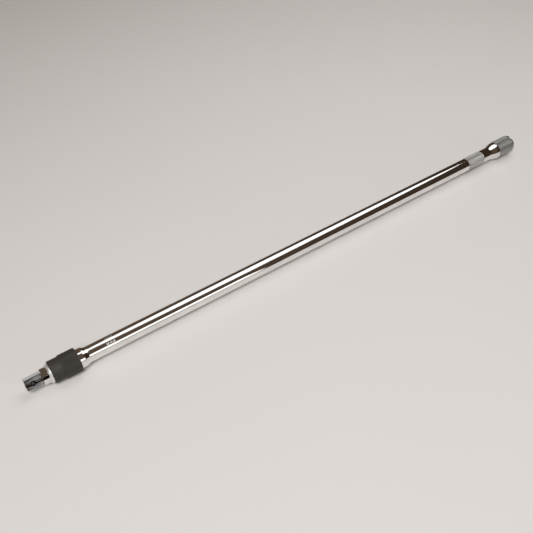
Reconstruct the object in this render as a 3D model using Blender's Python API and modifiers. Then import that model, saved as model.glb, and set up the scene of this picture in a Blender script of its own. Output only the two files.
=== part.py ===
"""Long locking extension bar for a half-inch socket drive.

The bar lies along X with its male square at -X and its female square at +X.  Every piece is
modelled in the bar's own frame: x counts from the tip of the male square, local Z points out of
the face that holds the locking ball.  One empty then rolls that frame about the bar's axis and
puts it over the world origin, with the sleeve's underside at Z = 0.
"""

import math

import bmesh
import bpy

MM = 0.001

# Driving dimensions, millimetres
OVERALL_LENGTH = 762.0
DRIVE_SQUARE = 12.7
SHANK_RADIUS = 9.5
ROLL_DEGREES = 56.25
SEGMENTS = 48
GAP = 0.3

# Male square and neck
TANG_LENGTH = 17.9
TANG_CORNER_RADIUS = 8.35
TANG_TIP_CHAMFER = 1.1
TANG_RELIEF = 0.6
NECK_RADIUS = 9.4
RING_GROOVE_START = 26.2
RING_GROOVE_WIDTH = 1.6
RING_GROOVE_RADIUS = 8.7

# Head, the round behind the neck that the sleeve slides over
HEAD_START = 49.0
HEAD_END = 64.5
HEAD_RADIUS = 11.5
HEAD_TAPER_LENGTH = 7.5

# Far end of the shank
KNURL_BAND_START = 667.5
KNURL_BAND_END = 699.3
KNURL_BAND_RADIUS = 9.55
FLARE_START = 714.0
SOCKET_END_START = 729.5
SOCKET_END_RADIUS = 12.7
SOCKET_EDGE_CHAMFER = 0.8
FLARE_STEPS = 6
SMOOTH_DEGREES = 30

# Female square
SOCKET_SQUARE = 12.8
SOCKET_DEPTH = 17.0
SOCKET_MOUTH_RADIUS = 9.3
SOCKET_MOUTH_DEPTH = 1.0
SOCKET_DRILL_RADIUS = 6.2
SOCKET_DRILL_DEPTH = 20.0
DETENT_DEPTH = 1.2
DETENT_RADIUS = 2.9
DETENTS = 4
DETENT_MERIDIANS = 16
DETENT_PARALLELS = 8
HOLE_FACETS = 24

# Lock: ball, slide with its ramp, cross pin
TRAVEL = 4.0
RAMP_SLOPE = 0.25
BALL_RADIUS = 2.75
BALL_MERIDIANS = 20
BALL_PARALLELS = 12
BALL_X = 8.2
BALL_PROUD = 1.1
BALL_HOLE_RADIUS = 3.0
BALL_HOLE_FLOOR = 0.6
SLOT_WIDTH = 3.3
SLOT_FLOOR = 0.0
SLOT_END = 42.0
SLIDE_WIDTH = 2.9
SLIDE_UNDERSIDE = 0.15
SLIDE_NOSE_X = 4.0
SLIDE_LEVEL_X = 9.4
SLIDE_EYE_RADIUS = 2.4
SLIDE_EYE_REACH = 0.5
SLIDE_EYE_STEPS = 12
SLIDE_BORE_POINTS = 16
PIN_X = 35.0
PIN_HEIGHT = 2.6
PIN_RADIUS = 1.3
PIN_LENGTH = 21.4
PIN_CLEARANCE = 0.1
RAMP_CLEARANCE = 0.02

# Sleeve, its retaining ring, washer and spring
COLLAR_FRONT = 28.8
COLLAR_STEP = 40.8
COLLAR_REAR = 60.0
COLLAR_FRONT_RADIUS = 12.8
COLLAR_REAR_RADIUS = 13.8
COLLAR_CHAMFER = 0.6
COLLAR_STEP_CHAMFER = 0.8
COLLAR_NECK_BORE_RADIUS = 9.55
COLLAR_SHOULDER = 33.5
COLLAR_CAVITY_RADIUS = 11.65
COLLAR_MOUTH_CHAMFER = 0.5
RING_START = 25.3
RING_RADIUS = 11.2
RING_CHAMFER = 1.2
RING_BORE_RADIUS = 9.55
RING_RIB_RADIUS = 8.85
RING_RIB_CLEARANCE = 0.15
RING_SPLIT = 2.2
WASHER_THICKNESS = 0.9
WASHER_BORE_RADIUS = 9.6
WASHER_RADIUS = 11.4
SPRING_WIRE_RADIUS = 0.7
SPRING_MEAN_RADIUS = 10.5
SPRING_TURNS = 4.5
SPRING_CLOSED_TURNS = 0.75
SPRING_POINTS_PER_TURN = 14

# Room that a cutter runs past the wall it cuts
CUTTER_REACH = 4.0
ACROSS = math.pi / 2


def clear_scene():
    for leftover in list(bpy.data.objects):
        bpy.data.objects.remove(leftover, do_unlink=True)


def new_collection(name):
    collection = bpy.data.collections.new(name)
    bpy.context.scene.collection.children.link(collection)
    return collection


def new_material(name, colour, roughness, metallic):
    material = bpy.data.materials.new(name)
    material.use_nodes = True
    shader = material.node_tree.nodes["Principled BSDF"]
    shader.inputs["Base Color"].default_value = (*colour, 1.0)
    shader.inputs["Roughness"].default_value = roughness
    shader.inputs["Metallic"].default_value = metallic
    material.diffuse_color = (*colour, 1.0)
    return material


def place(name, data, collection, frame, location=(0, 0, 0), rotation=(0, 0, 0)):
    """An object of this data in the bar's frame, its location in millimetres."""
    piece = bpy.data.objects.new(name, data)
    piece.location = [value * MM for value in location]
    piece.rotation_euler = rotation
    piece.parent = frame
    collection.objects.link(piece)
    return piece


def smooth(mesh):
    mesh.shade_smooth()
    mesh.set_sharp_from_angle(angle=math.radians(SMOOTH_DEGREES))


def turned(name, profile, closed, collection, frame):
    """A profile of (radius, x) points, turned about the bar's axis."""
    mesh = bpy.data.meshes.new(name)
    points = [(radius * MM, 0.0, x * MM) for radius, x in profile]
    edges = [(i, i + 1) for i in range(len(points) - 1)]
    if closed:
        edges.append((len(points) - 1, 0))
    mesh.from_pydata(points, edges, [])
    piece = place(name, mesh, collection, frame, rotation=(0, ACROSS, 0))
    screw = piece.modifiers.new("Turn", "SCREW")
    screw.axis = "Z"
    screw.steps = SEGMENTS
    screw.render_steps = SEGMENTS
    screw.use_merge_vertices = True
    screw.merge_threshold = 0.00001
    screw.use_smooth_shade = True
    return piece


def box_cutter(name, low, high, cutters, frame):
    """A box between two corners of the bar's frame."""
    mesh = bpy.data.meshes.new(name)
    box = bmesh.new()
    bmesh.ops.create_cube(box, size=1.0)
    size = [(b - a) * MM for a, b in zip(low, high)]
    bmesh.ops.scale(box, vec=size, verts=box.verts)
    box.to_mesh(mesh)
    box.free()
    centre = [(a + b) / 2 for a, b in zip(low, high)]
    return as_cutter(place(name, mesh, cutters, frame, location=centre))


def round_cutter(name, radius, end_radius, length, centre, rotation, cutters, frame):
    """A cylinder or cone about its own Z, centred on a point of the bar's frame."""
    mesh = bpy.data.meshes.new(name)
    cone = bmesh.new()
    bmesh.ops.create_cone(
        cone,
        cap_ends=True,
        segments=HOLE_FACETS,
        radius1=radius * MM,
        radius2=end_radius * MM,
        depth=length * MM,
    )
    cone.to_mesh(mesh)
    cone.free()
    return as_cutter(place(name, mesh, cutters, frame, location=centre, rotation=rotation))


def ball_mesh(name, radius, segments, rings):
    mesh = bpy.data.meshes.new(name)
    ball = bmesh.new()
    bmesh.ops.create_uvsphere(ball, u_segments=segments, v_segments=rings, radius=radius * MM)
    ball.to_mesh(mesh)
    ball.free()
    smooth(mesh)
    return mesh


def as_cutter(piece):
    piece.hide_render = True
    piece.display_type = "WIRE"
    return piece


def cut(piece, cutter):
    boolean = piece.modifiers.new(cutter.name, "BOOLEAN")
    boolean.operation = "DIFFERENCE"
    boolean.solver = "EXACT"
    boolean.object = cutter


def flare(start_x, start_radius, end_x, end_radius):
    """Points of a smooth S-shaped run between two radii, both ends included."""
    points = []
    for step in range(FLARE_STEPS + 1):
        part = step / FLARE_STEPS
        ease = part * part * (3 - 2 * part)
        radius = start_radius + (end_radius - start_radius) * ease
        points.append((radius, start_x + (end_x - start_x) * part))
    return points


def bar_profile():
    """The forged bar's outline, from the middle of the female end's face to the tip."""
    groove_end = RING_GROOVE_START + RING_GROOVE_WIDTH
    profile = [
        (0.0, OVERALL_LENGTH),
        (SOCKET_END_RADIUS - SOCKET_EDGE_CHAMFER, OVERALL_LENGTH),
        (SOCKET_END_RADIUS, OVERALL_LENGTH - SOCKET_EDGE_CHAMFER),
    ]
    profile += flare(SOCKET_END_START, SOCKET_END_RADIUS, FLARE_START, SHANK_RADIUS)
    profile += [
        (SHANK_RADIUS, KNURL_BAND_END),
        (KNURL_BAND_RADIUS, KNURL_BAND_END),
        (KNURL_BAND_RADIUS, KNURL_BAND_START),
        (SHANK_RADIUS, KNURL_BAND_START),
    ]
    profile += flare(HEAD_END + HEAD_TAPER_LENGTH, SHANK_RADIUS, HEAD_END, HEAD_RADIUS)
    profile += [
        (HEAD_RADIUS, HEAD_START),
        (NECK_RADIUS, HEAD_START),
        (NECK_RADIUS, groove_end),
        (RING_GROOVE_RADIUS, groove_end),
        (RING_GROOVE_RADIUS, RING_GROOVE_START),
        (NECK_RADIUS, RING_GROOVE_START),
        (NECK_RADIUS, TANG_LENGTH + TANG_RELIEF),
        (TANG_CORNER_RADIUS, TANG_LENGTH),
        (TANG_CORNER_RADIUS, TANG_TIP_CHAMFER),
        (TANG_CORNER_RADIUS - TANG_TIP_CHAMFER, 0.0),
        (0.0, 0.0),
    ]
    return profile


def cut_tang_flats(bar, cutters, frame):
    """Four boxes leave the male square between them."""
    half = DRIVE_SQUARE / 2
    far = SOCKET_END_RADIUS
    sides = {
        "tang_flat_upper": ((-far, half), (far, far)),
        "tang_flat_lower": ((-far, -far), (far, -half)),
        "tang_flat_left": ((half, -far), (far, far)),
        "tang_flat_right": ((-far, -far), (-half, far)),
    }
    for name, (low, high) in sides.items():
        low_corner = (-CUTTER_REACH, *low)
        high_corner = (TANG_LENGTH, *high)
        cut(bar, box_cutter(name, low_corner, high_corner, cutters, frame))


def cut_lock_passages(bar, cutters, frame):
    """The slot for the slide, the ball's hole and the cross pin's long hole."""
    half_slot = SLOT_WIDTH / 2
    slot = box_cutter(
        "slide_slot",
        (-CUTTER_REACH, -half_slot, SLOT_FLOOR),
        (SLOT_END, half_slot, HEAD_RADIUS),
        cutters,
        frame,
    )
    hole_height = HEAD_RADIUS - BALL_HOLE_FLOOR
    ball_hole = round_cutter(
        "ball_hole",
        BALL_HOLE_RADIUS,
        BALL_HOLE_RADIUS,
        hole_height,
        (BALL_X, 0.0, BALL_HOLE_FLOOR + hole_height / 2),
        (0, 0, 0),
        cutters,
        frame,
    )
    reach = PIN_RADIUS + PIN_CLEARANCE
    pin_slot = box_cutter(
        "pin_slot",
        (PIN_X - reach, -HEAD_RADIUS, PIN_HEIGHT - reach),
        (PIN_X + TRAVEL + reach, HEAD_RADIUS, PIN_HEIGHT + reach),
        cutters,
        frame,
    )
    for cutter in (slot, ball_hole, pin_slot):
        cut(bar, cutter)


def cut_female_square(bar, cutters, frame):
    """Square, drill point, mouth chamfer and one detent in the middle of each wall."""
    half = SOCKET_SQUARE / 2
    square = box_cutter(
        "socket_square",
        (OVERALL_LENGTH - SOCKET_DEPTH, -half, -half),
        (OVERALL_LENGTH + CUTTER_REACH, half, half),
        cutters,
        frame,
    )
    drill = round_cutter(
        "socket_drill",
        SOCKET_DRILL_RADIUS,
        SOCKET_DRILL_RADIUS,
        SOCKET_DRILL_DEPTH,
        (OVERALL_LENGTH - SOCKET_DRILL_DEPTH / 2, 0.0, 0.0),
        (0, ACROSS, 0),
        cutters,
        frame,
    )
    slope = (SOCKET_MOUTH_RADIUS - half) / SOCKET_MOUTH_DEPTH / 2
    mouth_length = SOCKET_MOUTH_DEPTH * 2
    mouth = round_cutter(
        "socket_mouth",
        SOCKET_MOUTH_RADIUS - slope * SOCKET_MOUTH_DEPTH,
        SOCKET_MOUTH_RADIUS + slope * SOCKET_MOUTH_DEPTH,
        mouth_length,
        (OVERALL_LENGTH, 0.0, 0.0),
        (0, ACROSS, 0),
        cutters,
        frame,
    )
    for cutter in (square, drill, mouth):
        cut(bar, cutter)
    offset = half + DETENT_DEPTH - DETENT_RADIUS
    dimple = ball_mesh("socket_detent", DETENT_RADIUS, DETENT_MERIDIANS, DETENT_PARALLELS)
    for number in range(DETENTS):
        angle = number * 2 * math.pi / DETENTS
        centre = (
            OVERALL_LENGTH - BALL_X,
            offset * math.cos(angle),
            offset * math.sin(angle),
        )
        name = f"socket_detent_{number + 1}"
        cut(bar, as_cutter(place(name, dimple, cutters, frame, location=centre)))


def make_extension_bar(parts, cutters, frame):
    bar = turned("extension_bar", bar_profile(), False, parts, frame)
    cut_tang_flats(bar, cutters, frame)
    cut_lock_passages(bar, cutters, frame)
    cut_female_square(bar, cutters, frame)
    bar.data.materials.append(new_material("chrome_plate", (0.78, 0.77, 0.75), 0.08, 1.0))
    return bar


def make_locking_collar(parts, frame):
    """A stepped sleeve: its front bore rides on the neck, its rear bore on the head."""
    profile = [
        (COLLAR_REAR_RADIUS - COLLAR_CHAMFER, COLLAR_REAR),
        (COLLAR_REAR_RADIUS, COLLAR_REAR - COLLAR_CHAMFER),
        (COLLAR_REAR_RADIUS, COLLAR_STEP + COLLAR_STEP_CHAMFER),
        (COLLAR_FRONT_RADIUS, COLLAR_STEP),
        (COLLAR_FRONT_RADIUS, COLLAR_FRONT + COLLAR_CHAMFER),
        (COLLAR_FRONT_RADIUS - COLLAR_CHAMFER, COLLAR_FRONT),
        (COLLAR_NECK_BORE_RADIUS, COLLAR_FRONT),
        (COLLAR_NECK_BORE_RADIUS, COLLAR_SHOULDER),
        (COLLAR_CAVITY_RADIUS, COLLAR_SHOULDER),
        (COLLAR_CAVITY_RADIUS, COLLAR_REAR - COLLAR_MOUTH_CHAMFER),
        (COLLAR_CAVITY_RADIUS + COLLAR_MOUTH_CHAMFER, COLLAR_REAR),
    ]
    collar = turned("locking_collar", profile, True, parts, frame)
    collar.data.materials.append(new_material("black_oxide", (0.06, 0.055, 0.05), 0.55, 0.6))
    return collar


def make_retaining_ring(parts, cutters, frame):
    """A split ring whose inner rib sits in the neck's groove, in front of the sleeve."""
    rib_start = RING_GROOVE_START + RING_RIB_CLEARANCE
    rib_end = RING_GROOVE_START + RING_GROOVE_WIDTH - RING_RIB_CLEARANCE
    ring_end = COLLAR_FRONT - GAP
    profile = [
        (RING_RADIUS, ring_end),
        (RING_RADIUS, RING_START + RING_CHAMFER),
        (RING_RADIUS - RING_CHAMFER, RING_START),
        (RING_BORE_RADIUS, RING_START),
        (RING_BORE_RADIUS, rib_start),
        (RING_RIB_RADIUS, rib_start),
        (RING_RIB_RADIUS, rib_end),
        (RING_BORE_RADIUS, rib_end),
        (RING_BORE_RADIUS, ring_end),
    ]
    ring = turned("retaining_ring", profile, True, parts, frame)
    half_split = RING_SPLIT / 2
    low = (RING_START - CUTTER_REACH, -half_split, -RING_RADIUS - CUTTER_REACH)
    high = (ring_end + CUTTER_REACH, half_split, 0.0)
    cut(ring, box_cutter("ring_split", low, high, cutters, frame))
    ring.data.materials.append(new_material("bright_zinc", (0.75, 0.77, 0.8), 0.2, 1.0))
    return ring


def make_spring_washer(parts, frame):
    start = PIN_X + PIN_RADIUS + PIN_CLEARANCE
    end = start + WASHER_THICKNESS
    profile = [
        (WASHER_RADIUS, end),
        (WASHER_RADIUS, start),
        (WASHER_BORE_RADIUS, start),
        (WASHER_BORE_RADIUS, end),
    ]
    washer = turned("spring_washer", profile, True, parts, frame)
    washer.data.materials.append(new_material("washer_steel", (0.5, 0.5, 0.5), 0.35, 1.0))
    return washer


def spring_point(turn, start, length):
    """A point of the wire's centre line; the end turns are wound almost closed."""
    closed = SPRING_CLOSED_TURNS
    close_pitch = 2 * SPRING_WIRE_RADIUS + PIN_CLEARANCE
    open_turns = SPRING_TURNS - 2 * closed
    open_pitch = (length - 2 * closed * close_pitch) / open_turns
    if turn < closed:
        along = turn * close_pitch
    elif turn < SPRING_TURNS - closed:
        along = closed * close_pitch + (turn - closed) * open_pitch
    else:
        along = length - (SPRING_TURNS - turn) * close_pitch
    angle = turn * 2 * math.pi
    return (
        (start + along) * MM,
        SPRING_MEAN_RADIUS * MM * math.cos(angle),
        SPRING_MEAN_RADIUS * MM * math.sin(angle),
        1.0,
    )


def make_return_spring(parts, frame):
    """The coil between the washer and the front face of the head."""
    washer_end = PIN_X + PIN_RADIUS + PIN_CLEARANCE + WASHER_THICKNESS
    start = washer_end + SPRING_WIRE_RADIUS + PIN_CLEARANCE
    length = HEAD_START - PIN_CLEARANCE - SPRING_WIRE_RADIUS - start
    count = int(SPRING_TURNS * SPRING_POINTS_PER_TURN) + 1
    curve = bpy.data.curves.new("return_spring", "CURVE")
    curve.dimensions = "3D"
    curve.bevel_depth = SPRING_WIRE_RADIUS * MM
    curve.bevel_resolution = 2
    curve.use_fill_caps = True
    spline = curve.splines.new("POLY")
    spline.points.add(count - 1)
    for number, point in enumerate(spline.points):
        turn = SPRING_TURNS * number / (count - 1)
        point.co = spring_point(turn, start, length)
    spring = place("return_spring", curve, parts, frame)
    spring.data.materials.append(new_material("spring_steel", (0.35, 0.35, 0.36), 0.3, 1.0))
    return spring


def ramp_height(x):
    """Height of the slide's ramp under the resting ball, held a hair below it."""
    tilt = math.atan(RAMP_SLOPE)
    ball_height = DRIVE_SQUARE / 2 + BALL_PROUD - BALL_RADIUS
    contact_x = BALL_X + BALL_RADIUS * math.sin(tilt)
    contact_height = ball_height - BALL_RADIUS * math.cos(tilt) - RAMP_CLEARANCE
    return contact_height + RAMP_SLOPE * (x - contact_x)


def slide_outline():
    """Side view of the slide as (x, height): nose, ramp, level back and round eye."""
    level = ramp_height(SLIDE_LEVEL_X)
    outline = [
        (SLIDE_NOSE_X, SLIDE_UNDERSIDE),
        (PIN_X + SLIDE_EYE_RADIUS * SLIDE_EYE_REACH, SLIDE_UNDERSIDE),
    ]
    rise = level - PIN_HEIGHT
    front_angle = math.pi - math.asin(rise / SLIDE_EYE_RADIUS)
    low_angle = -math.acos(SLIDE_EYE_REACH)
    for step in range(1, SLIDE_EYE_STEPS + 1):
        angle = low_angle + (front_angle - low_angle) * step / SLIDE_EYE_STEPS
        outline.append(
            (
                PIN_X + SLIDE_EYE_RADIUS * math.cos(angle),
                PIN_HEIGHT + SLIDE_EYE_RADIUS * math.sin(angle),
            )
        )
    outline.append((SLIDE_LEVEL_X, level))
    outline.append((SLIDE_NOSE_X, ramp_height(SLIDE_NOSE_X)))
    return outline


def add_outline(curve, points, origin):
    spline = curve.splines.new("POLY")
    spline.points.add(len(points) - 1)
    for point, (x, y) in zip(spline.points, points):
        point.co = ((x - origin[0]) * MM, (y - origin[1]) * MM, 0.0, 1.0)
    spline.use_cyclic_u = True


def make_lock_slide(parts, frame):
    curve = bpy.data.curves.new("lock_slide", "CURVE")
    curve.dimensions = "2D"
    curve.fill_mode = "BOTH"
    curve.extrude = SLIDE_WIDTH / 2 * MM
    origin = (PIN_X, 0.0)
    add_outline(curve, slide_outline(), origin)
    bore = PIN_RADIUS + PIN_CLEARANCE
    eye = []
    for step in range(SLIDE_BORE_POINTS):
        angle = step * 2 * math.pi / SLIDE_BORE_POINTS
        eye.append((PIN_X + bore * math.cos(angle), PIN_HEIGHT + bore * math.sin(angle)))
    add_outline(curve, eye, origin)
    slide = place(
        "lock_slide", curve, parts, frame, location=(PIN_X, 0, 0), rotation=(ACROSS, 0, 0)
    )
    slide.data.materials.append(new_material("slide_steel", (0.22, 0.22, 0.22), 0.4, 1.0))
    return slide


def make_cross_pin(parts, frame):
    mesh = bpy.data.meshes.new("cross_pin")
    pin = bmesh.new()
    bmesh.ops.create_cone(
        pin,
        cap_ends=True,
        segments=HOLE_FACETS,
        radius1=PIN_RADIUS * MM,
        radius2=PIN_RADIUS * MM,
        depth=PIN_LENGTH * MM,
    )
    pin.to_mesh(mesh)
    pin.free()
    smooth(mesh)
    piece = place(
        "cross_pin",
        mesh,
        parts,
        frame,
        location=(PIN_X, 0, PIN_HEIGHT),
        rotation=(ACROSS, 0, 0),
    )
    piece.data.materials.append(new_material("pin_steel", (0.55, 0.55, 0.55), 0.3, 1.0))
    return piece


def make_locking_ball(parts, frame):
    height = DRIVE_SQUARE / 2 + BALL_PROUD - BALL_RADIUS
    mesh = ball_mesh("locking_ball", BALL_RADIUS, BALL_MERIDIANS, BALL_PARALLELS)
    ball = place("locking_ball", mesh, parts, frame, location=(BALL_X, 0, height))
    ball.data.materials.append(new_material("ball_steel", (0.6, 0.6, 0.62), 0.15, 1.0))
    return ball


def make_frame(parts):
    """The bar's axis, rolled so that one facet of the sleeve lies flat on Z = 0."""
    frame = bpy.data.objects.new("bar_axis", None)
    facet_radius = COLLAR_REAR_RADIUS * math.cos(math.pi / SEGMENTS)
    frame.location = (-OVERALL_LENGTH / 2 * MM, 0.0, facet_radius * MM)
    frame.rotation_euler = (math.radians(ROLL_DEGREES), 0.0, 0.0)
    parts.objects.link(frame)
    return frame


def main():
    clear_scene()
    parts = new_collection("locking_extension_bar")
    cutters = new_collection("cutters")
    frame = make_frame(parts)
    make_extension_bar(parts, cutters, frame)
    make_locking_collar(parts, frame)
    make_retaining_ring(parts, cutters, frame)
    make_spring_washer(parts, frame)
    make_return_spring(parts, frame)
    make_lock_slide(parts, frame)
    make_cross_pin(parts, frame)
    make_locking_ball(parts, frame)


main()
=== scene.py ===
"""Long locking extension bar for a half-inch socket drive, laid out on a pale studio floor.

Every piece is modelled in the bar's own frame, where X counts from the tip of the male square and
Z points out of the face that holds the locking ball.  It is then rolled and set down where the
frame's solids lie.
"""

import math

import bmesh
import bpy
from bpy.props import FloatProperty, FloatVectorProperty, IntProperty, PointerProperty
from mathutils import Matrix, Vector


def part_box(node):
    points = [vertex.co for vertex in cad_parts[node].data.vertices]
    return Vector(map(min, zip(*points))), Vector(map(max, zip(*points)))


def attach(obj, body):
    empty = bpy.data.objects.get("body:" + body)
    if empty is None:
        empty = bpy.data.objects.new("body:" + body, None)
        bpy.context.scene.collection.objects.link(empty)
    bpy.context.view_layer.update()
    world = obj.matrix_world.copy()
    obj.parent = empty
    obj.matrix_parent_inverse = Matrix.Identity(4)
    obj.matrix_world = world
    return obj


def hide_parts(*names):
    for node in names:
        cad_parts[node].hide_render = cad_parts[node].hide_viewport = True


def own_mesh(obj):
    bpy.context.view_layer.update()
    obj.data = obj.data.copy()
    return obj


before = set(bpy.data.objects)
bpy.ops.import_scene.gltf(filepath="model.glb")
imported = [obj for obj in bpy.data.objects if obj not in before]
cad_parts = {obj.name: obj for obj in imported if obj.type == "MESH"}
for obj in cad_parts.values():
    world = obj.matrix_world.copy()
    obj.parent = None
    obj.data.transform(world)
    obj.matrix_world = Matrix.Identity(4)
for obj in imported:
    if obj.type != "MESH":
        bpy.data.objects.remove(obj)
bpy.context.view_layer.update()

bl_info = {
    "name": "Locking extension bar",
    "version": (1, 0, 0),
    "blender": (4, 5, 0),
    "location": "View3D > Sidebar > Locking Bar",
    "description": "Models a locking extension bar and its sleeve around the packed solids",
    "category": "Add Mesh",
}

MM = 0.001
ACROSS = math.pi / 2

# Places read from the frame
BAR_LOW, BAR_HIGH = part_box("extension_bar")
SLEEVE_LOW, SLEEVE_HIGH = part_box("locking_collar")
RING_LOW, RING_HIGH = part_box("retaining_ring")
WASHER_LOW, WASHER_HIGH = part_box("spring_washer")
SPRING_LOW, SPRING_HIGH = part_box("return_spring")
SLIDE_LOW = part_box("lock_slide")[0]
PIN_LOW, PIN_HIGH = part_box("cross_pin")
BALL_LOW, BALL_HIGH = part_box("locking_ball")


def half_way(low, high, axis):
    return (low[axis] + high[axis]) / 2


def half_span(low, high, axis):
    return (high[axis] - low[axis]) / 2


TIP = BAR_LOW[0]
AXIS_HEIGHT = half_way(SLEEVE_LOW, SLEEVE_HIGH, 2)
BALL_SIDE = half_way(BALL_LOW, BALL_HIGH, 1)
BALL_RISE = half_way(BALL_LOW, BALL_HIGH, 2) - AXIS_HEIGHT
ROLL = math.atan2(-BALL_SIDE, BALL_RISE)

# Sizes in the bar's own frame, metres
LENGTH = BAR_HIGH[0] - TIP
SQUARE = 12.7 * MM
TANG_END = 17.9 * MM
TANG_ROUND = 8.35 * MM
# Just past the corners of the square bore, so that no knurl reaches into it
BORE_REACH = 9.1 * MM
NECK = 9.4 * MM
NECK_GROOVE = (26.2 * MM, 27.8 * MM, 8.7 * MM)
HEAD_FROM = 49.0 * MM
HEAD_TO = 64.5 * MM
HEAD = 11.5 * MM
TAPER_TO = 72.0 * MM
BAND_FROM = 667.5 * MM
BAND_TO = 699.3 * MM
FLARE_FROM = 714.0 * MM
FLARE_TO = 729.5 * MM
SOCKET_RADIUS = half_span(BAR_LOW, BAR_HIGH, 1)
SOCKET_SQUARE = 12.8 * MM
SOCKET_DEPTH = 17.0 * MM
SOCKET_MOUTH = 9.3 * MM
SLOT = 3.3 * MM
SLOT_TO = 42.0 * MM
PIN_AT = half_way(PIN_LOW, PIN_HIGH, 0) - TIP
PIN_OUT = 2.6 * MM
PIN_RADIUS = half_span(PIN_LOW, PIN_HIGH, 0)
PIN_LENGTH = 21.4 * MM
PULL = 4.0 * MM
BALL_AT = half_way(BALL_LOW, BALL_HIGH, 0) - TIP
BALL_OUT = math.hypot(BALL_SIDE, BALL_RISE)
BALL_RADIUS = half_span(BALL_LOW, BALL_HIGH, 0)
BALL_HOLE = 3.0 * MM
BALL_FLOOR = 0.6 * MM
RAMP = 0.25
SLEEVE_FROM = SLEEVE_LOW[0] - TIP
SLEEVE_TO = SLEEVE_HIGH[0] - TIP
SLEEVE_STEP = 40.8 * MM
SLEEVE_RADIUS = half_span(SLEEVE_LOW, SLEEVE_HIGH, 2)
SLEEVE_FRONT_RADIUS = 12.8 * MM
SLEEVE_NECK_BORE = 9.55 * MM
SLEEVE_SHOULDER = 33.5 * MM
SLEEVE_CAVITY = 11.65 * MM
KNURL_VALLEY = 0.18 * MM
KNURL_STEP = 0.4 * MM
PIN_PLAY = 0.1 * MM
PIN_LEAD = 0.4 * MM
RING_PLAY = 0.15 * MM
RING_GAP = 2.2 * MM
SLIDE_FLOOR = 0.15 * MM
SLIDE_LEVEL_AT = 9.4 * MM
SLIDE_EYE = 2.4 * MM
WASHER_BORE = 9.6 * MM
SPRING_MEAN = 10.5 * MM
SPRING_CLOSED_TURNS = 0.75
SPRING_POINTS_PER_TURN = 28
DETENT_RADIUS = 2.9 * MM

# How much light the black oxide throws back off its surface
BLACKED_SHEEN = 0.4

# The camera stands up and to the left of the bar's near half
CAMERA_PLACE = (-0.42547, -0.49139, 0.59721)
CAMERA_AZIMUTH = math.radians(35.905)
CAMERA_ELEVATION = math.radians(44.05)
CAMERA_LENS_MM = 46.0


class BarSizes(bpy.types.PropertyGroup):
    """Sizes of the forged bar that its maker could choose."""

    shank_radius: FloatProperty(
        name="Shank radius",
        description="Radius of the plain round shank",
        default=9.5 * MM,
        unit="LENGTH",
        precision=5,
    )
    facets: IntProperty(
        name="Facets",
        description="Facets round every turned piece of the bar, and knurl points round a band",
        default=64,
        min=24,
    )
    edge_break: FloatProperty(
        name="Edge break",
        description="Width of the small bevel on the bar's machined edges",
        default=0.18 * MM,
        unit="LENGTH",
        precision=5,
    )
    knurl_height: FloatProperty(
        name="Knurl height",
        description="Height of the knurl's points over their valleys",
        default=0.24 * MM,
        unit="LENGTH",
        precision=5,
    )
    stamp_depth: FloatProperty(
        name="Stamp depth",
        description="Depth of the plain stamped strokes behind the head",
        default=0.25 * MM,
        unit="LENGTH",
        precision=5,
    )


class SleeveSizes(bpy.types.PropertyGroup):
    """Sizes of the sliding sleeve and its ring."""

    facets: IntProperty(
        name="Facets",
        description="Facets round the sleeve, and knurl points round its grip",
        default=72,
        min=24,
    )
    chamfer: FloatProperty(
        name="Chamfer",
        description="Chamfer on the sleeve's front and rear edges",
        default=0.6 * MM,
        unit="LENGTH",
        precision=5,
    )
    step_chamfer: FloatProperty(
        name="Step chamfer",
        description="Length of the slope between the sleeve's two diameters",
        default=0.8 * MM,
        unit="LENGTH",
        precision=5,
    )
    knurl_height: FloatProperty(
        name="Knurl height",
        description="Height of the grip's knurl over its valleys",
        default=0.22 * MM,
        unit="LENGTH",
        precision=5,
    )
    ring_chamfer: FloatProperty(
        name="Ring chamfer",
        description="Chamfer on the front of the retaining ring",
        default=1.2 * MM,
        unit="LENGTH",
        precision=5,
    )


class LockSizes(bpy.types.PropertyGroup):
    """Sizes of the hidden lock."""

    wire_radius: FloatProperty(
        name="Spring wire radius",
        description="Radius of the return spring's wire",
        default=0.7 * MM,
        unit="LENGTH",
        precision=5,
    )
    spring_turns: FloatProperty(
        name="Spring turns",
        description="Turns of the return spring, its closed ends included",
        default=4.5,
        min=3.0,
    )
    slide_width: FloatProperty(
        name="Slide width",
        description="Thickness of the lock slide across its slot",
        default=2.9 * MM,
        unit="LENGTH",
        precision=5,
    )


def colour_property(name, description, default):
    return FloatVectorProperty(
        name=name, description=description, default=default, subtype="COLOR", min=0.0, max=1.0
    )


class FinishColours(bpy.types.PropertyGroup):
    """Base colours of the finishes."""

    chrome: colour_property("Chrome", "Polished chrome plate", (0.86, 0.85, 0.84))
    satin: colour_property("Satin chrome", "Chrome over the knurled band", (0.5, 0.5, 0.495))
    grip: colour_property("Grip chrome", "Chrome over the female end's knurl", (0.37, 0.375, 0.37))
    tang: colour_property("Tang chrome", "Thin chrome on the male square", (0.53, 0.56, 0.59))
    blacked: colour_property("Black oxide", "Blacked steel of the sleeve", (0.039, 0.0345, 0.029))
    zinc: colour_property("Bright zinc", "Plating of the retaining ring", (0.86, 0.86, 0.86))
    # Painted shade: the steel in the slot is coloured nearly black to stand in for the shade down
    # in the slot
    bare: colour_property("Bare steel", "Unplated steel in the slot", (0.09, 0.085, 0.08))
    # Painted shade: the ball is coloured nearly black to stand in for the shade of the hole it
    # sits in
    ball: colour_property("Ball steel", "Oiled steel of the locking ball", (0.05, 0.05, 0.052))
    oiled: colour_property("Oiled steel", "Slide, spring and washer", (0.3, 0.29, 0.28))
    floor: colour_property("Floor", "Pale studio floor", (0.765, 0.745, 0.73))


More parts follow.
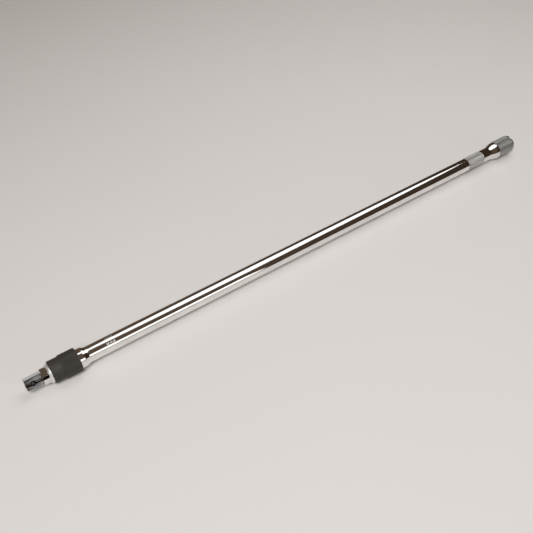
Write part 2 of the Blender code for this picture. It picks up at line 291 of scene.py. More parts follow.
class StudioLight(bpy.types.PropertyGroup):
    """Strength of the studio's lights."""

    overhead: FloatProperty(
        name="Overhead power",
        description="Power of the large soft light over the bar, in watts",
        default=6.0,
        min=0.0,
    )
    key: FloatProperty(
        name="Key power",
        description="Power of the large soft light to the left of the camera, in watts",
        default=42.0,
        min=0.0,
    )
    side: FloatProperty(
        name="Side power",
        description="Power of the low soft light on the near side, in watts",
        default=2.45,
        min=0.0,
    )


# ---------------------------------------------------------------- modelling by hand


def deselect():
    bpy.ops.object.select_all(action="DESELECT")


def added(name):
    """The primitive that was just added, named and with its place moved into its mesh."""
    piece = bpy.context.object
    piece.name = name
    piece.data.name = name
    bpy.ops.object.transform_apply(location=True, rotation=True, scale=True)
    return piece


def activate(piece):
    deselect()
    piece.select_set(True)
    bpy.context.view_layer.objects.active = piece


def edit(piece, mode="VERT"):
    activate(piece)
    bpy.ops.object.mode_set(mode="EDIT")
    bpy.ops.mesh.select_mode(type=mode)


def leave_edit():
    bpy.ops.object.mode_set(mode="OBJECT")


def pick(piece, domain, test):
    """Select only the vertices, edges or faces that pass the test, in edit mode."""
    mesh = bmesh.from_edit_mesh(piece.data)
    for kind in (mesh.faces, mesh.edges, mesh.verts):
        for element in kind:
            element.select = False
    for element in getattr(mesh, domain):
        if test(element):
            element.select_set(True)
    bmesh.update_edit_mesh(piece.data)


def outward(piece):
    """Merge doubles and turn every face outwards."""
    edit(piece)
    bpy.ops.mesh.select_all(action="SELECT")
    bpy.ops.mesh.remove_doubles(threshold=0.000001)
    bpy.ops.mesh.normals_make_consistent(inside=False)
    leave_edit()


def turn(name, outline, facets, ring=False):
    """A circle extruded and resized along an outline of (x, radius) points.

    A ring's outline comes back to its first point; any other outline is capped at both ends.
    """
    x, radius = outline[0]
    deselect()
    bpy.ops.mesh.primitive_circle_add(
        vertices=facets, radius=radius, location=(x, 0, 0), rotation=(0, ACROSS, 0)
    )
    piece = added(name)
    edit(piece)
    bpy.ops.mesh.select_all(action="SELECT")
    for next_x, next_radius in outline[1:]:
        bpy.ops.mesh.extrude_edges_move(
            TRANSFORM_OT_translate={"value": (next_x - x, 0, 0)}
        )
        grow = next_radius / radius
        if grow != 1.0:
            bpy.ops.transform.resize(value=(1, grow, grow), center_override=(next_x, 0, 0))
        x, radius = next_x, next_radius
    if not ring:
        bpy.ops.mesh.select_all(action="SELECT")
        bpy.ops.mesh.fill_holes(sides=0)
    leave_edit()
    outward(piece)
    return piece


def box(low, high):
    """A box between two corners."""
    deselect()
    centre = [(a + b) / 2 for a, b in zip(low, high)]
    size = [b - a for a, b in zip(low, high)]
    bpy.ops.mesh.primitive_cube_add(size=1, location=centre, scale=size)
    return added("cutter")


def rod(radius, length, centre, rotation=(0, 0, 0), facets=48):
    deselect()
    bpy.ops.mesh.primitive_cylinder_add(
        vertices=facets, radius=radius, depth=length, location=centre, rotation=rotation
    )
    return added("cutter")


def boolean(piece, other, operation="DIFFERENCE"):
    """Cut or join another shape, which is used up."""
    activate(piece)
    modifier = piece.modifiers.new("boolean", "BOOLEAN")
    modifier.operation = operation
    modifier.solver = "EXACT"
    modifier.object = other
    bpy.ops.object.modifier_apply(modifier=modifier.name)
    bpy.data.objects.remove(other, do_unlink=True)


def break_edges(piece, width, angle=30, segments=2):
    """A small bevel on every edge sharper than the angle."""
    activate(piece)
    modifier = piece.modifiers.new("edge_break", "BEVEL")
    modifier.width = width
    modifier.segments = segments
    modifier.limit_method = "ANGLE"
    modifier.angle_limit = math.radians(angle)
    modifier.use_clamp_overlap = True
    bpy.ops.object.modifier_apply(modifier=modifier.name)


def smooth(piece, angle=32):
    """Shade smooth, with the large faces' own normals kept flat up to their bevels."""
    activate(piece)
    bpy.ops.object.shade_smooth_by_angle(angle=math.radians(angle))
    modifier = piece.modifiers.new("face_weight", "WEIGHTED_NORMAL")
    modifier.weight = 100
    modifier.keep_sharp = True
    bpy.ops.object.modifier_apply(modifier=modifier.name)


def reach(vertex):
    """Distance of a vertex from the bar's axis."""
    return math.hypot(vertex.co.y, vertex.co.z)


def knurl(piece, start, end, facets, height, slot):
    """Diamond points pressed into a plain stretch of a turned piece.

    The stretch is divided into square cells, each cell is poked, and the cells' own edges are
    dissolved, which leaves diamonds; poking those raises a point on each.
    """
    slack = 0.01 * MM
    edit(piece, "EDGE")

    def inside(vertex):
        return start - slack < vertex.co.x < end + slack and reach(vertex) > BORE_REACH

    def lengthwise(edge):
        a, b = edge.verts
        return inside(a) and inside(b) and abs(a.co.x - b.co.x) > (end - start) / 2

    pick(piece, "edges", lengthwise)
    mesh = bmesh.from_edit_mesh(piece.data)
    chosen = [edge for edge in mesh.edges if edge.select]
    radius = max(reach(edge.verts[0]) for edge in chosen)
    # broken edges leave the plain stretch a little shorter than it was turned
    ends = [vertex.co.x for edge in chosen for vertex in edge.verts]
    start, end = min(ends), max(ends)
    rows = max(2, round((end - start) / (math.tau * radius / facets)))
    bpy.ops.mesh.subdivide(number_cuts=rows - 1)
    bpy.ops.mesh.select_mode(type="FACE")

    def cell(face):
        across = face.calc_center_median().x
        return all(inside(v) for v in face.verts) and start < across < end

    pick(piece, "faces", cell)
    bpy.ops.mesh.poke(offset=0)
    chord = radius * (1 + math.cos(math.pi / facets)) / 2
    bpy.ops.mesh.select_mode(type="EDGE")

    def cell_side(edge):
        a, b = edge.verts
        if not (inside(a) and inside(b)) or min(reach(a), reach(b)) < chord:
            return False
        middle = (a.co.x + b.co.x) / 2
        return start + slack < middle < end - slack

    pick(piece, "edges", cell_side)
    bpy.ops.mesh.dissolve_edges(use_verts=False)
    bpy.ops.mesh.select_mode(type="FACE")

    def diamond(face):
        across = face.calc_center_median().x
        return len(face.verts) == 4 and all(inside(v) for v in face.verts) and (
            start + slack < across < end - slack
        )

    pick(piece, "faces", diamond)
    bpy.ops.mesh.poke(offset=height)

    def knurled(face):
        return start + slack < face.calc_center_median().x < end - slack and all(
            inside(v) for v in face.verts
        )

    pick(piece, "faces", knurled)
    piece.active_material_index = slot
    bpy.ops.object.material_slot_assign()
    leave_edit()


def ease(start, end, steps=14):
    """Points of a smooth S-shaped run between two (x, radius) points, without the first."""
    points = []
    for step in range(1, steps + 1):
        part = step / steps
        bend = part * part * (3 - 2 * part)
        points.append(
            (start[0] + (end[0] - start[0]) * part, start[1] + (end[1] - start[1]) * bend)
        )
    return points


def set_down(piece, body, nodes, finishes=()):
    """Roll a finished piece into the frame, give it its finish and tie it to its body."""
    for finish in finishes:
        if finish.name not in piece.data.materials:
            piece.data.materials.append(finish)
    place = Matrix.Translation(Vector((TIP, 0, AXIS_HEIGHT))) @ Matrix.Rotation(ROLL, 4, "X")
    piece.matrix_world = place
    activate(piece)
    bpy.ops.object.transform_apply(location=True, rotation=True, scale=True)
    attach(piece, body)
    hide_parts(*nodes)
    return piece


# ---------------------------------------------------------------- finishes


def nodes_of(material):
    tree = material.node_tree
    return tree, tree.nodes["Principled BSDF"]


def noise(tree, scale, stretch=(1, 1, 1), detail=4.0):
    """A noise texture on the piece's own coordinates, stretched along its axes."""
    where = tree.nodes.new("ShaderNodeTexCoord")
    mapping = tree.nodes.new("ShaderNodeMapping")
    mapping.inputs["Scale"].default_value = stretch
    texture = tree.nodes.new("ShaderNodeTexNoise")
    texture.inputs["Scale"].default_value = scale
    texture.inputs["Detail"].default_value = detail
    tree.links.new(where.outputs["Object"], mapping.inputs["Vector"])
    tree.links.new(mapping.outputs["Vector"], texture.inputs["Vector"])
    return texture


def tinted(colour, factor):
    return (*[min(1.0, channel * factor) for channel in colour], 1.0)


def metal(name, colour, metallic, rough, grain, lay, bump=0.02, shade=(0.94, 1.04)):
    """A metal whose colour and roughness drift a little, with marks along its lay.

    rough is the roughness range, grain the scale of the marks and lay how they stretch. The
    names differ from the frame's own material slots, which would otherwise be picked up here.
    """
    found = bpy.data.materials.get(name)
    if found:
        return found
    material = bpy.data.materials.new(name)
    material.use_nodes = True
    tree, shader = nodes_of(material)
    shader.inputs["Metallic"].default_value = metallic
    drift = noise(tree, 60, detail=2.0)
    ramp = tree.nodes.new("ShaderNodeValToRGB")
    ramp.color_ramp.elements[0].position = 0.35
    ramp.color_ramp.elements[0].color = tinted(colour, shade[0])
    ramp.color_ramp.elements[1].position = 0.65
    ramp.color_ramp.elements[1].color = tinted(colour, shade[1])
    tree.links.new(drift.outputs["Fac"], ramp.inputs["Fac"])
    tree.links.new(ramp.outputs["Color"], shader.inputs["Base Color"])
    marks = noise(tree, grain, lay)
    spread = tree.nodes.new("ShaderNodeMapRange")
    spread.inputs["From Min"].default_value = 0.3
    spread.inputs["From Max"].default_value = 0.7
    spread.inputs["To Min"].default_value = rough[0]
    spread.inputs["To Max"].default_value = rough[1]
    tree.links.new(marks.outputs["Fac"], spread.inputs["Value"])
    tree.links.new(spread.outputs["Result"], shader.inputs["Roughness"])
    relief = tree.nodes.new("ShaderNodeBump")
    relief.inputs["Strength"].default_value = bump
    relief.inputs["Distance"].default_value = 0.1 * MM
    tree.links.new(marks.outputs["Fac"], relief.inputs["Height"])
    tree.links.new(relief.outputs["Normal"], shader.inputs["Normal"])
    return material


def chrome_finish():
    colour = bpy.context.scene.bar_finish.chrome
    return metal("polished_chrome", colour, 1.0, (0.03, 0.07), 90, (0.3, 4, 4), bump=0.01)


def satin_finish():
    colour = bpy.context.scene.bar_finish.satin
    return metal("satin_chrome", colour, 1.0, (0.3, 0.42), 700, (1, 1, 1), bump=0.1)


def stamp_finish():
    """Matt chrome at the bottom of the stamped strokes."""
    colour = bpy.context.scene.bar_finish.chrome
    return metal("stamped_chrome", colour, 1.0, (0.42, 0.55), 700, (1, 1, 1), bump=0.1)


def grip_finish():
    colour = bpy.context.scene.bar_finish.grip
    return metal("grip_chrome", colour, 1.0, (0.3, 0.42), 700, (1, 1, 1), bump=0.1)


def tang_finish():
    colour = bpy.context.scene.bar_finish.tang
    return metal("tang_chrome", colour, 1.0, (0.08, 0.2), 260, (0.4, 2, 2), bump=0.05)


def slot_shade_finish():
    """Oiled steel inside the slot, where the plating stops, coloured nearly black as painted shade
    of the narrow slot.
    """
    colour = bpy.context.scene.bar_finish.bare
    return metal("bare_steel", colour, 1.0, (0.35, 0.5), 300, (1, 3, 3), bump=0.08)


def blacked_finish():
    """Black oxide, worn a little lighter in patches."""
    colour = bpy.context.scene.bar_finish.blacked
    material = metal(
        "blacked_steel", colour, 0.0, (0.5, 0.66), 900, (1, 1, 1), bump=0.12, shade=(0.8, 1.25)
    )
    shader = nodes_of(material)[1]
    shader.inputs["Specular IOR Level"].default_value = BLACKED_SHEEN
    return material


def zinc_finish():
    colour = bpy.context.scene.bar_finish.zinc
    return metal("zinc_plate", colour, 0.8, (0.3, 0.42), 500, (6, 1, 1), bump=0.04)


def oiled_finish():
    colour = bpy.context.scene.bar_finish.oiled
    return metal("oiled_steel", colour, 1.0, (0.25, 0.4), 400, (1, 6, 6), bump=0.05)


def ball_shade_finish():
    # Nearly black: painted shade of the ball's hole
    colour = bpy.context.scene.bar_finish.ball
    return metal("bearing_steel", colour, 1.0, (0.3, 0.42), 300, (1, 1, 1), bump=0.02)


# ---------------------------------------------------------------- operators


class BARSHOP_OT_bar(bpy.types.Operator):
    """Turn, mill, broach and knurl the forged bar"""

    bl_idname = "barshop.bar"
    bl_label = "Extension bar"

    def outline(self, shank, height):
        """The turned blank from tip to socket end; knurled stretches stand at valley depth."""
        groove_from, groove_to, groove_radius = NECK_GROOVE
        tip_chamfer = 1.1 * MM
        valley = KNURL_VALLEY
        step = KNURL_STEP
        points = [
            (0, TANG_ROUND - tip_chamfer),
            (tip_chamfer, TANG_ROUND),
            (TANG_END, TANG_ROUND),
            (TANG_END + 0.6 * MM, NECK),
            (groove_from, NECK),
            (groove_from, groove_radius),
            (groove_to, groove_radius),
            (groove_to, NECK),
            (HEAD_FROM, NECK),
            (HEAD_FROM, HEAD - 0.3 * MM),
            (HEAD_FROM + 0.3 * MM, HEAD),
            (HEAD_TO, HEAD),
        ]
        points += ease(points[-1], (TAPER_TO, shank))
        points += [
            (BAND_FROM, shank),
            (BAND_FROM + step / 2, shank - valley),
            (BAND_FROM + step, shank - valley),
            (BAND_TO - step, shank - valley),
            (BAND_TO - step / 2, shank - valley),
            (BAND_TO, shank),
            (FLARE_FROM, shank),
        ]
        points += ease(points[-1], (FLARE_TO, SOCKET_RADIUS - height))
        points += [
            (FLARE_TO + step, SOCKET_RADIUS - height),
            (LENGTH - 2.0 * MM, SOCKET_RADIUS - height),
            (LENGTH - 1.6 * MM, SOCKET_RADIUS - height),
            (LENGTH - 1.2 * MM, SOCKET_RADIUS - 0.1 * MM),
            (LENGTH - 0.8 * MM, SOCKET_RADIUS - 0.1 * MM),
            (LENGTH, SOCKET_RADIUS - 0.9 * MM),
        ]
        return points

    def mill_square(self, bar):
        half = SQUARE / 2
        far = SOCKET_RADIUS
        for low, high in (
            ((-far, half), (far, far)),
            ((-far, -far), (far, -half)),
            ((half, -far), (far, far)),
            ((-far, -far), (-half, far)),
        ):
            boolean(bar, box((-PULL, *low), (TANG_END, *high)))

    def mill_lock(self, bar):
        """The slide's slot, the ball's hole and the pin's long hole."""
        boolean(bar, box((-PULL, -SLOT / 2, 0), (SLOT_TO, SLOT / 2, HEAD)))
        tall = HEAD - BALL_FLOOR
        boolean(bar, rod(BALL_HOLE, tall, (BALL_AT, 0, BALL_FLOOR + tall / 2)))
        room = PIN_RADIUS + PIN_PLAY
        low = (PIN_AT - room, -HEAD, PIN_OUT - room)
        high = (PIN_AT + PULL + room, HEAD, PIN_OUT + room)
        boolean(bar, box(low, high))

    def broach_socket(self, bar):
        half = SOCKET_SQUARE / 2
        deep = SOCKET_DEPTH + 3 * MM
        boolean(bar, box((LENGTH - SOCKET_DEPTH, -half, -half), (LENGTH + deep, half, half)))
        boolean(bar, rod(6.2 * MM, deep, (LENGTH - deep / 2, 0, 0), (0, ACROSS, 0)))
        deselect()
        lip = 1.0 * MM
        slope = (SOCKET_MOUTH - half) / lip / 2
        bpy.ops.mesh.primitive_cone_add(
            vertices=48,
            radius1=SOCKET_MOUTH - slope * lip,
            radius2=SOCKET_MOUTH + slope * lip,
            depth=lip * 2,
            location=(LENGTH, 0, 0),
            rotation=(0, ACROSS, 0),
        )
        boolean(bar, added("cutter"))
        detent = DETENT_RADIUS
        offset = half + 1.2 * MM - detent
        for quarter in range(4):
            angle = quarter * ACROSS
            deselect()
            bpy.ops.mesh.primitive_uv_sphere_add(
                segments=24,
                ring_count=12,
                radius=detent,
                location=(
                    LENGTH - BALL_AT,
                    offset * math.cos(angle),
                    offset * math.sin(angle),
                ),
            )
            boolean(bar, added("cutter"))

    def stamp(self, bar, shank, depth):
        """Two short rows of plain strokes, which spell nothing."""
        rows = ((94 * MM, -56.0, (1, 0.5, 1, 0.5, 1)), (93 * MM, -18.0, (1, 1, 0.5, 1, 0.5, 1)))
        stroke = 0.75 * MM
        pitch = 1.8 * MM
        tall = 2.3 * MM
        for start, lean, heights in rows:
            for number, share in enumerate(heights):
                x = start + number * pitch
                deselect()
                bpy.ops.mesh.primitive_cube_add(
                    size=1,
                    location=(x, 0, shank),
                    scale=(stroke, tall * share, depth * 2),
                )
                cutter = added("cutter")
                cutter.matrix_world = Matrix.Rotation(math.radians(lean), 4, "X")
                activate(cutter)
                bpy.ops.object.transform_apply(location=True, rotation=True, scale=True)
                boolean(bar, cutter)

    def finish(self, bar, test, slot):
        """Give the faces that pass the test the finish in this slot."""
        edit(bar, "FACE")
        pick(bar, "faces", test)
        bar.active_material_index = slot
        bpy.ops.object.material_slot_assign()
        leave_edit()

    def execute(self, context):
        sizes = context.scene.bar_sizes
        shank = sizes.shank_radius
        height = sizes.knurl_height
        bar = turn("extension_bar_forging", self.outline(shank, height), sizes.facets)
        self.mill_square(bar)
        self.mill_lock(bar)
        self.broach_socket(bar)
        break_edges(bar, sizes.edge_break)
        self.stamp(bar, shank, sizes.stamp_depth)
        bar.data.materials.append(chrome_finish())
        bar.data.materials.append(satin_finish())
        bar.data.materials.append(grip_finish())
        bar.data.materials.append(tang_finish())
        bar.data.materials.append(slot_shade_finish())
        bar.data.materials.append(stamp_finish())
        step = KNURL_STEP
        knurl(bar, BAND_FROM + step, BAND_TO - step, sizes.facets, height, 1)
        knurl(bar, FLARE_TO + step, LENGTH - 2.0 * MM, sizes.facets, height, 2)
        slack = 0.06 * MM

        def stamped(face):
            middle = face.calc_center_median()
            near = 92 * MM < middle.x < 104 * MM
            return near and math.hypot(middle.y, middle.z) < shank - slack

        def banded(face):
            middle = face.calc_center_median()
            return BAND_FROM < middle.x < BAND_TO and math.hypot(middle.y, middle.z) > BORE_REACH

        # Faces down in the slot and the ball's hole, which take the slot's painted shade
        def in_slot_shade(face):
            middle = face.calc_center_median()
            across = abs(middle.y) < BALL_HOLE + slack
            deep = -slack < middle.z < SQUARE / 2 - 0.3 * MM
            return across and deep and slack < middle.x < SLOT_TO + slack

        self.finish(bar, lambda face: face.calc_center_median().x < TANG_END, 3)
        self.finish(bar, in_slot_shade, 4)
        self.finish(bar, stamped, 5)
        self.finish(bar, banded, 1)
        smooth(bar)
        set_down(bar, "bar", ["extension_bar"])
        return {"FINISHED"}


class BARSHOP_OT_sleeve(bpy.types.Operator):
    """Turn and knurl the black sleeve"""

    bl_idname = "barshop.sleeve"
    bl_label = "Locking sleeve"

    def execute(self, context):
        sizes = context.scene.sleeve_sizes
        bevel = sizes.chamfer
        valley = SLEEVE_RADIUS - sizes.knurl_height
        grip_from = SLEEVE_STEP + sizes.step_chamfer
        grip_to = SLEEVE_TO - bevel - 0.3 * MM
        outline = [
            (SLEEVE_FROM, SLEEVE_NECK_BORE + 0.3 * MM),
            (SLEEVE_FROM, SLEEVE_FRONT_RADIUS - bevel),
            (SLEEVE_FROM + bevel, SLEEVE_FRONT_RADIUS),
            (SLEEVE_STEP, SLEEVE_FRONT_RADIUS),
            (grip_from, valley),
            (grip_to, valley),
            (SLEEVE_TO - bevel, SLEEVE_RADIUS),
            (SLEEVE_TO, SLEEVE_RADIUS - bevel),
            (SLEEVE_TO, SLEEVE_CAVITY + 0.5 * MM),
            (SLEEVE_TO - 0.5 * MM, SLEEVE_CAVITY),
            (SLEEVE_SHOULDER, SLEEVE_CAVITY),
            (SLEEVE_SHOULDER, SLEEVE_NECK_BORE),
            (SLEEVE_FROM + 0.3 * MM, SLEEVE_NECK_BORE),
            (SLEEVE_FROM, SLEEVE_NECK_BORE + 0.3 * MM),
        ]
        sleeve = turn("locking_sleeve", outline, sizes.facets, ring=True)
        break_edges(sleeve, 0.12 * MM)
        sleeve.data.materials.append(blacked_finish())
        knurl(sleeve, grip_from, grip_to, sizes.facets, sizes.knurl_height, 0)
        smooth(sleeve)
        set_down(sleeve, "collar", ["locking_collar"])
        return {"FINISHED"}


class BARSHOP_OT_ring(bpy.types.Operator):
    """Turn and split the bright ring in front of the sleeve"""

    bl_idname = "barshop.ring"
    bl_label = "Retaining ring"

    def execute(self, context):
        start = RING_LOW[0] - TIP
        end = RING_HIGH[0] - TIP
        radius = half_span(RING_LOW, RING_HIGH, 1)
        slope = context.scene.sleeve_sizes.ring_chamfer
        bore = SLEEVE_NECK_BORE
        groove_from, groove_to, groove_radius = NECK_GROOVE
        rib = groove_radius + RING_PLAY
        outline = [
            (start, bore),
            (start, radius - slope),
            (start + slope, radius),
            (end, radius),
            (end, bore),
            (groove_to - RING_PLAY, bore),
            (groove_to - RING_PLAY, rib),
            (groove_from + RING_PLAY, rib),
            (groove_from + RING_PLAY, bore),
            (start, bore),
        ]
        ring = turn("retaining_ring_split", outline, 96, ring=True)
        gap = RING_GAP / 2
        boolean(ring, box((start - PULL, -gap, -radius * 2), (end + PULL, gap, 0)))
        break_edges(ring, 0.15 * MM)
        smooth(ring)
        set_down(ring, "bar", ["retaining_ring"], [zinc_finish()])
        return {"FINISHED"}


class BARSHOP_OT_slide(bpy.types.Operator):
    """Mill the lock slide: a strip with a ramp at its nose and a round eye at its rear"""

    bl_idname = "barshop.slide"
    bl_label = "Lock slide"

    def execute(self, context):
        width = context.scene.lock_sizes.slide_width
        nose = SLIDE_LOW[0] - TIP
        floor = SLIDE_FLOOR
        tilt = math.atan(RAMP)
        touch = BALL_AT + BALL_RADIUS * math.sin(tilt)
        height = BALL_OUT - BALL_RADIUS * math.cos(tilt) - 0.02 * MM
        level = height + RAMP * (SLIDE_LEVEL_AT - touch)
        eye = SLIDE_EYE
        slide = box((nose, -width / 2, floor), (PIN_AT, width / 2, level))
        slide.name = "lock_slide_strip"
        slide.data.name = slide.name
        edit(slide)
        bpy.ops.mesh.select_all(action="SELECT")
        bpy.ops.mesh.bisect(
            plane_co=(touch, 0, height),
            plane_no=(-math.sin(tilt), 0, math.cos(tilt)),
            use_fill=True,
            clear_outer=True,
        )
        leave_edit()
        outward(slide)
        boolean(slide, rod(eye, width, (PIN_AT, 0, PIN_OUT), (ACROSS, 0, 0)), "UNION")
        boolean(slide, box((nose, -width, -eye), (PIN_AT + eye * 2, width, floor)))
        room = PIN_RADIUS + PIN_PLAY
        boolean(slide, rod(room, width * 2, (PIN_AT, 0, PIN_OUT), (ACROSS, 0, 0)))
        break_edges(slide, 0.12 * MM)
        smooth(slide)
        # The slide is coloured with the slot's painted shade
        set_down(slide, "lock_carriage", ["lock_slide"], [slot_shade_finish()])
        return {"FINISHED"}


class BARSHOP_OT_pin(bpy.types.Operator):
    """Turn the cross pin with its chamfered ends"""

    bl_idname = "barshop.pin"
    bl_label = "Cross pin"

    def execute(self, context):
        half = PIN_LENGTH / 2
        lead = PIN_LEAD
        outline = [
            (-half, PIN_RADIUS - lead),
            (lead - half, PIN_RADIUS),
            (half - lead, PIN_RADIUS),
            (half, PIN_RADIUS - lead),
        ]
        pin = turn("cross_pin_turned", outline, 40)
        pin.matrix_world = Matrix.Translation(Vector((PIN_AT, 0, PIN_OUT))) @ Matrix.Rotation(
            ACROSS, 4, "Z"
        )
        activate(pin)
        bpy.ops.object.transform_apply(location=True, rotation=True, scale=True)
        smooth(pin)
        set_down(pin, "lock_carriage", ["cross_pin"], [oiled_finish()])
        return {"FINISHED"}


class BARSHOP_OT_washer(bpy.types.Operator):
    """Turn the washer between the pin and the spring"""

    bl_idname = "barshop.washer"
    bl_label = "Spring washer"

    def execute(self, context):
        start = WASHER_LOW[0] - TIP
        end = WASHER_HIGH[0] - TIP
        outer = half_span(WASHER_LOW, WASHER_HIGH, 2)
        inner = WASHER_BORE
        outline = [(start, inner), (start, outer), (end, outer), (end, inner), (start, inner)]
        washer = turn("spring_washer_flat", outline, 72, ring=True)
        break_edges(washer, 0.1 * MM)
        smooth(washer)
        set_down(washer, "lock_carriage", ["spring_washer"], [oiled_finish()])
        return {"FINISHED"}


class BARSHOP_OT_spring(bpy.types.Operator):
    """Wind the return spring and grind its ends flat"""

    bl_idname = "barshop.spring"
    bl_label = "Return spring"

    def centre_line(self, wire, turns):
        """Points along the coil, whose end turns are wound almost closed."""
        start = SPRING_LOW[0] - TIP + wire
        length = SPRING_HIGH[0] - SPRING_LOW[0] - wire * 2
        mean = SPRING_MEAN
        closed = SPRING_CLOSED_TURNS
        close_pitch = wire * 2 + 0.1 * MM
        open_pitch = (length - 2 * closed * close_pitch) / (turns - 2 * closed)
        count = int(turns * SPRING_POINTS_PER_TURN)
        points = []
        for number in range(count + 1):
            turn_at = turns * number / count
            if turn_at < closed:
                along = turn_at * close_pitch
            elif turn_at < turns - closed:
                along = closed * close_pitch + (turn_at - closed) * open_pitch
            else:
                along = length - (turns - turn_at) * close_pitch
            angle = turn_at * math.tau
            points.append((start + along, mean * math.cos(angle), mean * math.sin(angle)))
        return points

    def execute(self, context):
        sizes = context.scene.lock_sizes
        wire = sizes.wire_radius
        curve = bpy.data.curves.new("return_spring_coil", "CURVE")
        curve.dimensions = "3D"
        curve.bevel_depth = wire
        curve.bevel_resolution = 3
        curve.use_fill_caps = True
        points = self.centre_line(wire, sizes.spring_turns)
        spline = curve.splines.new("POLY")
        spline.points.add(len(points) - 1)
        for point, place in zip(spline.points, points):
            point.co = (*place, 1.0)
        spring = bpy.data.objects.new("return_spring_coil", curve)
        context.scene.collection.objects.link(spring)
        activate(spring)
        bpy.ops.object.convert(target="MESH")
        outward(spring)
        ground = wire * 0.4
        for x, way in ((points[0][0] - ground, -1), (points[-1][0] + ground, 1)):
            edit(spring)
            bpy.ops.mesh.select_all(action="SELECT")
            bpy.ops.mesh.bisect(
                plane_co=(x, 0, 0), plane_no=(way, 0, 0), use_fill=True, clear_outer=True
            )
            leave_edit()
        outward(spring)
        smooth(spring, 40)
        set_down(spring, "bar", ["return_spring"], [oiled_finish()])
        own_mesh(spring)
        return {"FINISHED"}


class BARSHOP_OT_ball(bpy.types.Operator):
    """Round a cube into the locking ball"""

    bl_idname = "barshop.ball"
    bl_label = "Locking ball"

    def execute(self, context):
        deselect()
        bpy.ops.mesh.primitive_cube_add(size=BALL_RADIUS * 2)
        ball = added("locking_ball_polished")
        edit(ball)
        bpy.ops.mesh.select_all(action="SELECT")
        bpy.ops.mesh.subdivide(number_cuts=11)
        bpy.ops.transform.tosphere(value=1.0)
        leave_edit()
        for vertex in ball.data.vertices:
            vertex.co = vertex.co.normalized() * BALL_RADIUS
        ball.matrix_world = Matrix.Translation(Vector((BALL_AT, 0, BALL_OUT)))
        activate(ball)
        bpy.ops.object.transform_apply(location=True, rotation=True, scale=True)
        smooth(ball)
        set_down(ball, "ball", ["locking_ball"], [ball_shade_finish()])
        return {"FINISHED"}


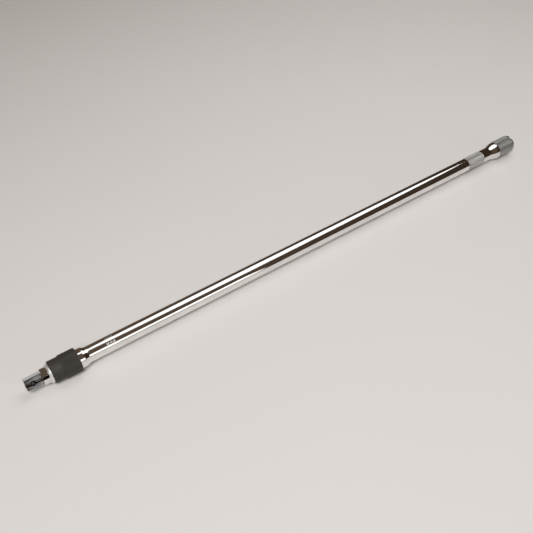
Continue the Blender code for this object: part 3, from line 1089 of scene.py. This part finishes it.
class BARSHOP_OT_stage(bpy.types.Operator):
    """Lay the floor and set the lights, the surroundings and the camera"""

    bl_idname = "barshop.stage"
    bl_label = "Studio stage"

    def floor(self):
        deselect()
        bpy.ops.mesh.primitive_circle_add(vertices=96, radius=2.6, fill_type="NGON")
        floor = added("studio_floor")
        material = bpy.data.materials.new("studio_floor")
        material.use_nodes = True
        tree, shader = nodes_of(material)
        shader.inputs["Roughness"].default_value = 0.9
        drift = noise(tree, 3, detail=1.0)
        ramp = tree.nodes.new("ShaderNodeValToRGB")
        colour = bpy.context.scene.bar_finish.floor
        ramp.color_ramp.elements[0].color = tinted(colour, 0.985)
        ramp.color_ramp.elements[1].color = tinted(colour, 1.015)
        tree.links.new(drift.outputs["Fac"], ramp.inputs["Fac"])
        tree.links.new(ramp.outputs["Color"], shader.inputs["Base Color"])
        floor.data.materials.append(material)

    def area(self, name, power, size, place, target, shape, colour):
        deselect()
        bpy.ops.object.light_add(type="AREA", location=place)
        lamp = bpy.context.object
        lamp.name = name
        lamp.data.shape = shape
        lamp.data.size, lamp.data.size_y = size
        lamp.data.energy = power
        lamp.data.color = colour
        away = Vector(place) - Vector(target)
        lamp.rotation_euler = away.to_track_quat("Z", "Y").to_euler()

    def surroundings(self):
        """A dark warm room, darker towards the far end of the bar."""
        world = bpy.data.worlds.new("dark_room")
        bpy.context.scene.world = world
        world.use_nodes = True
        tree = world.node_tree
        sky = tree.nodes["Background"]
        where = tree.nodes.new("ShaderNodeTexCoord")
        parts = tree.nodes.new("ShaderNodeSeparateXYZ")
        ramp = tree.nodes.new("ShaderNodeValToRGB")
        ramp.color_ramp.elements[0].position = 0.0
        ramp.color_ramp.elements[0].color = (0.115, 0.083, 0.06, 1)
        ramp.color_ramp.elements[1].position = 0.75
        ramp.color_ramp.elements[1].color = (0.03, 0.02, 0.0135, 1)
        tree.links.new(where.outputs["Generated"], parts.inputs["Vector"])
        tree.links.new(parts.outputs["X"], ramp.inputs["Fac"])
        tree.links.new(ramp.outputs["Color"], sky.inputs["Color"])

    def camera(self):
        bpy.ops.object.camera_add(location=CAMERA_PLACE)
        camera = bpy.context.object
        camera.name = "studio_camera"
        camera.rotation_euler = (ACROSS - CAMERA_ELEVATION, 0, -CAMERA_AZIMUTH)
        camera.data.lens = CAMERA_LENS_MM
        camera.data.sensor_width = 36
        camera.data.clip_start = 0.01
        bpy.context.scene.camera = camera

    def execute(self, context):
        light = context.scene.studio_light
        self.floor()
        self.area(
            "overhead_soft_light",
            light.overhead,
            (1.56, 1.2),
            (0.6, 0.2, 1.2),
            (0.6, 0.0, 0.0),
            "ELLIPSE",
            (1.0, 0.995, 0.985),
        )
        self.area(
            "key_soft_light",
            light.key,
            (1.2, 1.2),
            (-1.1, -1.07, 1.92),
            (0.0, 0.0, 0.0),
            "ELLIPSE",
            (1.0, 0.995, 0.99),
        )
        self.area(
            "near_side_soft_light",
            light.side,
            (0.82, 0.68),
            (0.21, -1.5, 0.54),
            (0.21, 0.0, 0.54),
            "RECTANGLE",
            (1.0, 0.99, 0.98),
        )
        self.surroundings()
        self.camera()
        context.scene.view_settings.view_transform = "Standard"
        return {"FINISHED"}


class BARSHOP_PT_panel(bpy.types.Panel):
    """Lists the sizes, finishes and pieces of the bar."""

    bl_label = "Locking Extension Bar"
    bl_idname = "BARSHOP_PT_panel"
    bl_space_type = "VIEW_3D"
    bl_region_type = "UI"
    bl_category = "Locking Bar"

    def draw(self, context):
        column = self.layout.column(align=True)
        for group_name in SETTINGS:
            group = getattr(context.scene, group_name)
            for setting in group.__annotations__:
                column.prop(group, setting)
            column.separator()
        for operator in OPERATORS:
            column.operator(operator.bl_idname)


OPERATORS = (
    BARSHOP_OT_stage,
    BARSHOP_OT_bar,
    BARSHOP_OT_sleeve,
    BARSHOP_OT_ring,
    BARSHOP_OT_slide,
    BARSHOP_OT_pin,
    BARSHOP_OT_washer,
    BARSHOP_OT_spring,
    BARSHOP_OT_ball,
)
SETTINGS = {
    "bar_sizes": BarSizes,
    "sleeve_sizes": SleeveSizes,
    "lock_sizes": LockSizes,
    "bar_finish": FinishColours,
    "studio_light": StudioLight,
}


def register():
    for name, group in SETTINGS.items():
        bpy.utils.register_class(group)
        setattr(bpy.types.Scene, name, PointerProperty(type=group))
    for operator in OPERATORS:
        bpy.utils.register_class(operator)
    bpy.utils.register_class(BARSHOP_PT_panel)


def unregister():
    bpy.utils.unregister_class(BARSHOP_PT_panel)
    for operator in reversed(OPERATORS):
        bpy.utils.unregister_class(operator)
    for name, group in SETTINGS.items():
        delattr(bpy.types.Scene, name)
        bpy.utils.unregister_class(group)


def main():
    register()
    bpy.ops.barshop.stage()
    bpy.ops.barshop.bar()
    bpy.ops.barshop.sleeve()
    bpy.ops.barshop.ring()
    bpy.ops.barshop.slide()
    bpy.ops.barshop.pin()
    bpy.ops.barshop.washer()
    bpy.ops.barshop.spring()
    bpy.ops.barshop.ball()


if __name__ == "__main__":
    main()
